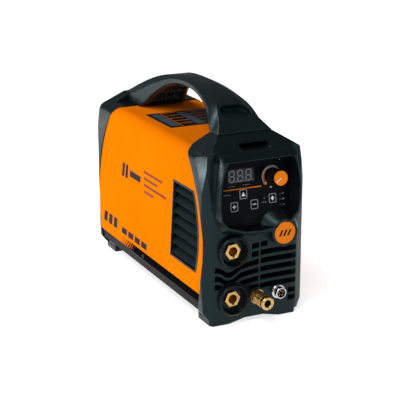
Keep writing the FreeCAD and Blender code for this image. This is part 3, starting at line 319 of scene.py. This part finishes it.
def softened(node, width):
    """A copy of a CAD node with its edges rounded, standing for it."""
    source = frame["nodes"][node]
    mesh = source.data.copy()
    thing = add(node + "_moulded", mesh)
    work = bmesh.new()
    work.from_mesh(mesh)
    bmesh.ops.remove_doubles(work, verts=work.verts, dist=0.02 * MM)
    bmesh.ops.dissolve_limit(work, angle_limit=math.radians(0.6), verts=work.verts,
                             edges=work.edges)
    work.to_mesh(mesh)
    work.free()
    bevel = thing.modifiers.new("rounding", "BEVEL")
    bevel.width = width * MM
    bevel.segments = 3
    bevel.limit_method = "ANGLE"
    bevel.angle_limit = math.radians(24)
    bevel.miter_outer = "MITER_ARC"
    bevel.use_clamp_overlap = True
    dress(thing, NODE_MATERIALS[node])
    smooth(thing)
    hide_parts(node)
    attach(thing, body_of(node))
    return thing


for node_name, node in frame["nodes"].items():
    dress(node, NODE_MATERIALS[node_name])


# ---------------------------------------------------------------- flat printed pieces

def on_plate(u, s, out):
    """Place on the tilted control plate: across, up the slope and out of it, in millimetres."""
    lean = Vector((0, math.sin(PLATE_TILT), math.cos(PLATE_TILT)))
    outward = Vector((0, -math.cos(PLATE_TILT), math.sin(PLATE_TILT)))
    return (PLATE_FOOT + Vector((u, 0, 0)) + lean * s + outward * out) * MM


def on_top(u, v, out):
    return Vector((u, v, COVER_TOP + out)) * MM


def on_face(u, v, out):
    return Vector((u, FACE - out, v)) * MM


def piece(name, work, material, body):
    """Make an object from a bmesh, and set its material and the body it rides on."""
    bmesh.ops.recalc_face_normals(work, faces=work.faces)
    mesh = bpy.data.meshes.new(name)
    work.to_mesh(mesh)
    work.free()
    thing = add(name, mesh)
    dress(thing, material)
    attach(thing, body)


def printed(name, where, polygons, material, body="machine", lift=0.02, thick=0.06,
            slot="label_print"):
    """Flat shapes with a little thickness, laid on a surface. where maps (u, v, out)."""
    work = bmesh.new()
    for polygon in polygons:
        low = [work.verts.new(where(u, v, lift)) for u, v in polygon]
        high = [work.verts.new(where(u, v, lift + thick)) for u, v in polygon]
        count = len(polygon)
        work.faces.new(high)
        work.faces.new(low[::-1])
        for index in range(count):
            after = (index + 1) % count
            work.faces.new((low[index], low[after], high[after], high[index]))
    piece(name, work, material, body)


def rectangle(u, v, width, height):
    return [(u - width / 2, v - height / 2), (u + width / 2, v - height / 2),
            (u + width / 2, v + height / 2), (u - width / 2, v + height / 2)]


def rounded(u, v, width, height, radius):
    """A rectangle with round corners, anticlockwise."""
    steps = 5
    points = []
    for quarter, (du, dv) in enumerate(((1, 1), (-1, 1), (-1, -1), (1, -1))):
        cu, cv = u + du * (width / 2 - radius), v + dv * (height / 2 - radius)
        for step in range(steps + 1):
            angle = math.radians(90 * quarter + 90 * step / steps)
            points.append((cu + radius * math.cos(angle), cv + radius * math.sin(angle)))
    return points


def outline(u, v, width, height, radius, line):
    """A rounded frame of the given line width, as quads."""
    outer = rounded(u, v, width, height, radius)
    inner = rounded(u, v, width - 2 * line, height - 2 * line, max(0.1, radius - line))
    count = len(outer)
    return [[outer[i], outer[(i + 1) % count], inner[(i + 1) % count], inner[i]]
            for i in range(count)]


def circle(u, v, radius, steps=24):
    turns = [math.tau * index / steps for index in range(steps)]
    return [(u + radius * math.cos(turn), v + radius * math.sin(turn)) for turn in turns]


def arc_band(u, v, start, end, inner, outer):
    """A curved band between two angles, its radii functions of how far along it is."""
    steps = 40
    polygons = []
    for step in range(steps):
        corners = []
        for along, radius in ((step, inner), (step, outer),
                              (step + 1, outer), (step + 1, inner)):
            t = along / steps
            angle = math.radians(start + (end - start) * t)
            corners.append((u + radius(t) * math.cos(angle), v + radius(t) * math.sin(angle)))
        polygons.append(corners)
    return polygons


def bar(u0, v0, u1, v1, line):
    """A straight line of a given width between two points."""
    along = Vector((u1 - u0, v1 - v0)).normalized()
    side = Vector((-along.y, along.x)) * line / 2
    return [(u0 - side.x, v0 - side.y), (u1 - side.x, v1 - side.y),
            (u1 + side.x, v1 + side.y), (u0 + side.x, v0 + side.y)]


# ---------------------------------------------------------------- control panel

KEYS = {"select": (-14.3, 28.1), "raise": (-28.9, 12.4), "lower": (1.5, 12.4),
        "mode": (29.6, 17.4)}
DIAL = (30, 47.5)
DISPLAY = (-15.6, 53.3)
KEY_FRAME = (11.0, 12.7)
KEY_STANDS = 0.62                          # a key's face above the plate, and a hair more
LENS_FACE = -0.58                          # the display's face, and a hair more
CAP_FACE = 27.6                            # the dial cap's face above the plate


def key_marks():
    """A pale frame and a sign on the face of each key; they travel with the key."""
    signs = {
        "select": [[(-3.0, -2.6), (3.0, -2.6), (0, 3.0)]],
        "raise": [bar(-2.8, 0, 2.8, 0, 1.0), bar(0, -2.8, 0, -0.5, 1.0),
                  bar(0, 0.5, 0, 2.8, 1.0)],
        "lower": [bar(-2.8, 0, 2.8, 0, 1.0)],
        "mode": [[(0, -3.4), (2.7, 0), (0, 3.4), (-2.7, 0)]],
    }
    for name, (u, s) in KEYS.items():
        shapes = [[(u + a, s + b) for a, b in shape] for shape in signs[name]]
        border = outline(u, s, *KEY_FRAME, 1.9, 0.75)
        printed("key_sign_" + name, on_plate, shapes, "white_ink", name + "_key",
                lift=KEY_STANDS)
        printed("key_frame_" + name, on_plate, border, "silver_ink", name + "_key",
                lift=KEY_STANDS)


def seven_segments(u, v, height, width, line):
    """The seven bars of one digit, all present, leaning a little."""
    gap = 0.25
    lean = 0.06
    half_line = line / 2
    bars = []

    def slanted(points):
        return [(a + (b - v) * lean, b) for a, b in points]

    for level in (-1, 0, 1):
        y = v + level * (height - line) / 2
        w = (width - line) / 2 - gap
        bars.append(slanted([(u - w, y), (u - w + half_line, y - half_line),
                             (u + w - half_line, y - half_line), (u + w, y),
                             (u + w - half_line, y + half_line),
                             (u - w + half_line, y + half_line)]))
    for side in (-1, 1):
        for half in (-1, 1):
            x = u + side * (width - line) / 2
            low = v + min(0, half) * (height - line) / 2 + gap
            high = low + (height - line) / 2 - 2 * gap
            bars.append(slanted([(x, low), (x + half_line, low + half_line),
                                 (x + half_line, high - half_line), (x, high),
                                 (x - half_line, high - half_line),
                                 (x - half_line, low + half_line)]))
    return bars


def display_marks():
    """Three digits, each with its point, on the face of the display."""
    u, s = DISPLAY
    pitch, height, width, line = 12.5, 16.4, 9.4, 2.0
    digits = []
    for index in range(3):
        at = u - 1.4 + (index - 1) * pitch
        digits += seven_segments(at, s, height, width, line)
        digits.append(circle(at + 6.2, s - 7.2, 0.9, 14))
    printed("display_digits", on_plate, digits, "display_digit", lift=LENS_FACE, thick=0.03,
            slot="display_lens")


def dial_marks():
    """The scale, ring, arrow and unit around the dial, and the pointer on its cap."""
    u, s = DIAL
    outer = 14.6

    def crescent_inner(t):
        return outer - 0.8 - 2.3 * math.sin(math.pi * t ** 1.5)

    crescent = arc_band(u, s, 228, 35, crescent_inner, lambda t: outer)
    printed("dial_scale", on_plate, crescent, "silver_ink")
    printed("dial_ring", on_plate, arc_band(u, s, 214, 95, lambda t: 11.2, lambda t: 11.9),
            "orange_ink")
    arrow_turn = math.radians(222)
    cu, cs = u + 13.2 * math.cos(arrow_turn), s + 13.2 * math.sin(arrow_turn)
    arrow = [(cu - 0.2, cs + 3.2), (cu - 2.8, cs - 0.8), (cu - 0.6, cs - 1.6),
             (cu + 0.4, cs - 3.0), (cu + 1.6, cs - 1.6), (cu + 2.8, cs - 0.4)]
    printed("dial_arrow", on_plate, [arrow], "orange_ink")
    unit = [bar(26.9, 31.6, 28.1, 34.4, 0.6), bar(28.1, 34.4, 29.3, 31.6, 0.6)]
    printed("dial_unit", on_plate, unit, "white_ink")
    # pointer on the cap, from its middle to its edge, at the lowest setting
    lowest = math.radians(213)

    def on_cap(a, b, out):
        return on_plate(u + math.cos(lowest) * a - math.sin(lowest) * b,
                        s + math.sin(lowest) * a + math.cos(lowest) * b, CAP_FACE + out)

    printed("dial_pointer", on_cap, [rectangle(4.6, 0, 8.8, 0.9)], "white_ink", "dial")


def plate_marks():
    """The rule under the display, and plain bars where words and small icons stand."""
    rule = [(-43.4, 35.2), (13.8, 34.9), (13.8, 36.5), (-43.4, 36.2)]
    printed("plate_rule", on_plate, [rule], "orange_ink")
    captions = [bar(u - length / 2, s, u + length / 2, s, tall)
                for u, s, length, tall in ((-31, 40.2, 10, 0.9), (-9, 40.4, 11, 0.9),
                                           (17.2, 13.4, 7.0, 1.4), (-41.6, 29.2, 4.6, 1.4),
                                           (-35.8, 29.0, 5.6, 1.4))]
    printed("plate_captions", on_plate, captions, "grey_ink")
    icons = [bar(44.8, 21.0, 47.2, 23.0, 0.9), bar(44.8, 14.4, 48.0, 14.8, 1.5),
             bar(45.6, 5.2, 47.8, 7.0, 0.9), circle(43.6, 68.6, 0.8, 14)]
    printed("plate_icons", on_plate, icons, "silver_ink")


def pierced(name, where, outer, holes, thick, material):
    """A sheet with holes, given by outlines on (u, v)."""
    work = bmesh.new()
    edges = []
    for loop in (outer, *holes):
        corners = [work.verts.new((u, v, 0)) for u, v in loop]
        for index, corner in enumerate(corners):
            edges.append(work.edges.new((corner, corners[(index + 1) % len(corners)])))
    filled = bmesh.ops.triangle_fill(work, edges=edges, use_beauty=True)["geom"]
    faces = [each for each in filled if isinstance(each, bmesh.types.BMFace)]
    grown = bmesh.ops.extrude_face_region(work, geom=faces)["geom"]
    for each in grown:
        if isinstance(each, bmesh.types.BMVert):
            each.co.z = thick
    for corner in work.verts:
        corner.co = where(*corner.co)
    piece(name, work, material, "machine")


def vent_shade_screen():
    """A near-black sheet behind the front vents, painted shade for the dark inside seen through
    the slots, with holes for the cable sockets and the hose.
    """
    behind = 18

    def inside(u, v, out):
        return on_face(u, v, out - behind)

    sheet = rectangle(0, 71, 138, 114)
    holes = [circle(-36, 106, 13), circle(-36, 38, 13), circle(-0.5, 37.5, 5)]
    pierced("vent_shade_screen", inside, sheet, holes, 1.0, "painted_shade_black")


def shade_baffles():
    """Near-black plates that stand inside the cover behind the side louvres, open at their
    edges: painted shade for the dark inside seen through the louvres.
    """
    inward = 18
    for name, side in (("left_shade_baffle", -1), ("right_shade_baffle", 1)):

        def inside(y, z, out, side=side):
            return Vector((side * (COVER_SIDE - inward + out), y, z)) * MM

        printed(name, inside, [rectangle(-117, 128, 80, 124)], "painted_shade_black", thick=1.2,
                slot="black_plastic")


# ---------------------------------------------------------------- badge, sides and top label

def badge_marks():
    """Three slanting bars in place of the mark on the badge."""
    u, v, stands = 38, 125, 11.2

    def on_badge(a, b, out):
        return on_face(u + a, v + b, stands + out)

    slashes = [[(at - 4.4, -4.2), (at - 1.4, -4.2), (at + 2.4, 4.2), (at - 0.6, 4.2)]
               for at in (-5.2, 1.0, 7.2)]
    printed("badge_slashes", on_badge, slashes, "black_ink")


def side_marks():
    """Plain bars on the left side of the cover, where a printed decoration lies."""

    def on_side(y, z, out):
        return Vector((-COVER_SIDE - out, y, z)) * MM

    def slanted(y, z, wide, tall):
        lean = 0.22 * tall
        return [(y + lean, z), (y - wide + lean, z), (y - wide, z + tall), (y, z + tall)]

    bars = [slanted(96, 143, 9, 22), slanted(83, 143, 9, 22), slanted(68, 149, 40, 10)]
    bars += [slanted(176 - 20 * index, 50, 14, 17) for index in range(3)]
    bars += [slanted(104 - 25 * index, 50, 20, 10) for index in range(4)]
    printed("side_bars", on_side, bars, "black_ink")
    lines = [slanted(16, 168 - 10 * row, reach, 4.2)
             for row, reach in enumerate((66, 48, 78, 34))]
    printed("side_lines", on_side, lines, "rust_ink")


def label_marks():
    """Ruled lines and picture patches in place of the print on the top label."""
    low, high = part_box("top_label")
    front, back = low.y / MM, high.y / MM
    left, right = low.x / MM, high.x / MM
    lift = high.z / MM - COVER_TOP + 0.02
    stripes, patches = [], []
    rows = 5
    pitch = (back - front - 8) / rows
    for row in range(rows):
        y = front + 4 + pitch * (row + 1) - 1.4
        for start, end in ((left + 22, left + 44), (left + 62, right - 6)):
            stripes.append(rectangle((start + end) / 2, y, end - start, 1.6))
    stripes.append(rectangle(left + 20.5, (front + back) / 2, 1.2, back - front - 8))
    step = (back - front - 12) / 3
    for column in (left + 4, left + 46):
        for row in range(3):
            y = front + 6 + (row + 0.5) * step
            patches.append(rectangle(column + 7, y, 13, step - 1.5))
    printed("label_lines", on_top, stripes, "orange_ink", lift=lift)
    printed("label_patches", on_top, patches, "label_blue_grey", lift=lift)
    marks = []
    for patch in patches:
        cu, cv = patch[0][0] + 6.5, patch[0][1] + 9
        marks += [bar(cu - 3, cv - 2, cu, cv + 2, 0.9), bar(cu, cv + 2, cu + 3, cv - 1, 0.9)]
    printed("label_marks", on_top, marks, "label_black", lift=lift + 0.06)


# ---------------------------------------------------------------- stage

def area_light(name, at, aim, size, power):
    """A rectangular lamp at a place in metres, turned toward another."""
    data = bpy.data.lights.new(name, "AREA")
    data.shape = "RECTANGLE"
    data.size, data.size_y = size
    data.energy = power
    lamp = add(name, data)
    lamp.location = at
    lamp.rotation_euler = (Vector(aim) - Vector(at)).to_track_quat("-Z", "Y").to_euler()


def stage():
    """The white floor, a pale world, a soft sun and four lamps."""
    mesh = bpy.data.meshes.new("floor")
    reach = 30
    mesh.from_pydata([(-reach, -reach, 0), (reach, -reach, 0), (reach, reach, 0),
                      (-reach, reach, 0)], [], [(0, 1, 2, 3)])
    floor = add("floor", mesh)
    plain("floor_paper", (0.90, 0.90, 0.905), 0.9, 60, 0.000001, emission=0.80)
    dress(floor, "floor_paper")
    world = bpy.data.worlds.new("studio")
    bpy.context.scene.world = world
    world.use_nodes = True
    background = world.node_tree.nodes["Background"]
    background.inputs["Color"].default_value = (1, 1, 1, 1)
    background.inputs["Strength"].default_value = 0.12
    sun = bpy.data.lights.new("key", "SUN")
    sun.energy = 1.2
    sun.angle = math.radians(30)
    lamp = add("key", sun)
    lamp.rotation_euler = Vector((0.50, 0.45, -0.80)).to_track_quat("-Z", "Y").to_euler()
    area_light("left_box", (-2.0, -0.7, 0.7), (-0.1, -0.1, 0.12), (0.6, 1.2), 4.2)
    area_light("left_strip", (-1.05, -1.25, 0.35), (-0.08, -0.2, 0.14), (0.08, 0.60), 1.2)
    area_light("top_box", (-0.6, 0.6, 1.3), (-0.03, -0.1, 0.25), (0.5, 0.5), 7)
    area_light("rear_strip", (-1.2, 0.45, 0.14), (-0.05, -0.15, 0.18), (0.5, 0.12), 4)


def camera():
    """The photograph's view of the machine."""
    data = bpy.data.cameras.new("camera")
    data.lens = 111.56
    data.sensor_width = 36
    data.clip_end = 100
    thing = add("camera", data)
    azimuth, elevation = math.radians(-25.79), math.radians(17.04)
    thing.location = (-0.7566, -1.5798, 0.6580)
    gaze = Vector((-math.sin(azimuth) * math.cos(elevation),
                   math.cos(azimuth) * math.cos(elevation), -math.sin(elevation)))
    thing.rotation_euler = gaze.to_track_quat("-Z", "Y").to_euler()
    bpy.context.scene.camera = thing


def shade_recess_walls(panel):
    """Give the walls of the control recess, which face its axis, a glossier plastic with
    painted shade: darker than the front moulding, so the recess looks shadowed.
    """
    mesh = panel.data
    mesh.materials.append(MATERIALS["recess_shade_moulding"])
    axis_height = 185
    for face in mesh.polygons:
        x, y, z = face.center / MM
        within = abs(x) < 59 and -200.8 < y < -164 and 133 < z < 232
        if within and face.normal.dot(Vector((x, 0, z - axis_height))) < 0:
            face.material_index = 1


# Width of the rounding, in millimetres, on each CAD piece that gets a softened copy.
SOFTENED = {"front_panel": 1.2, "rear_panel": 1.6, "front_foot": 0.8, "rear_foot": 0.8,
            "left_louvre": 0.35, "right_louvre": 0.35}
for node_name, rounding in SOFTENED.items():
    made = softened(node_name, rounding)
    if node_name == "front_panel":
        # painted shade on the walls of the control recess
        shade_recess_walls(made)
for node_name, node in frame["nodes"].items():
    if node_name not in SOFTENED:
        smooth(node)
key_marks()
display_marks()
dial_marks()
plate_marks()
badge_marks()
label_marks()
side_marks()
vent_shade_screen()
shade_baffles()
stage()
camera()
bpy.context.scene.view_settings.view_transform = "Standard"
bpy.context.scene.view_settings.look = "None"
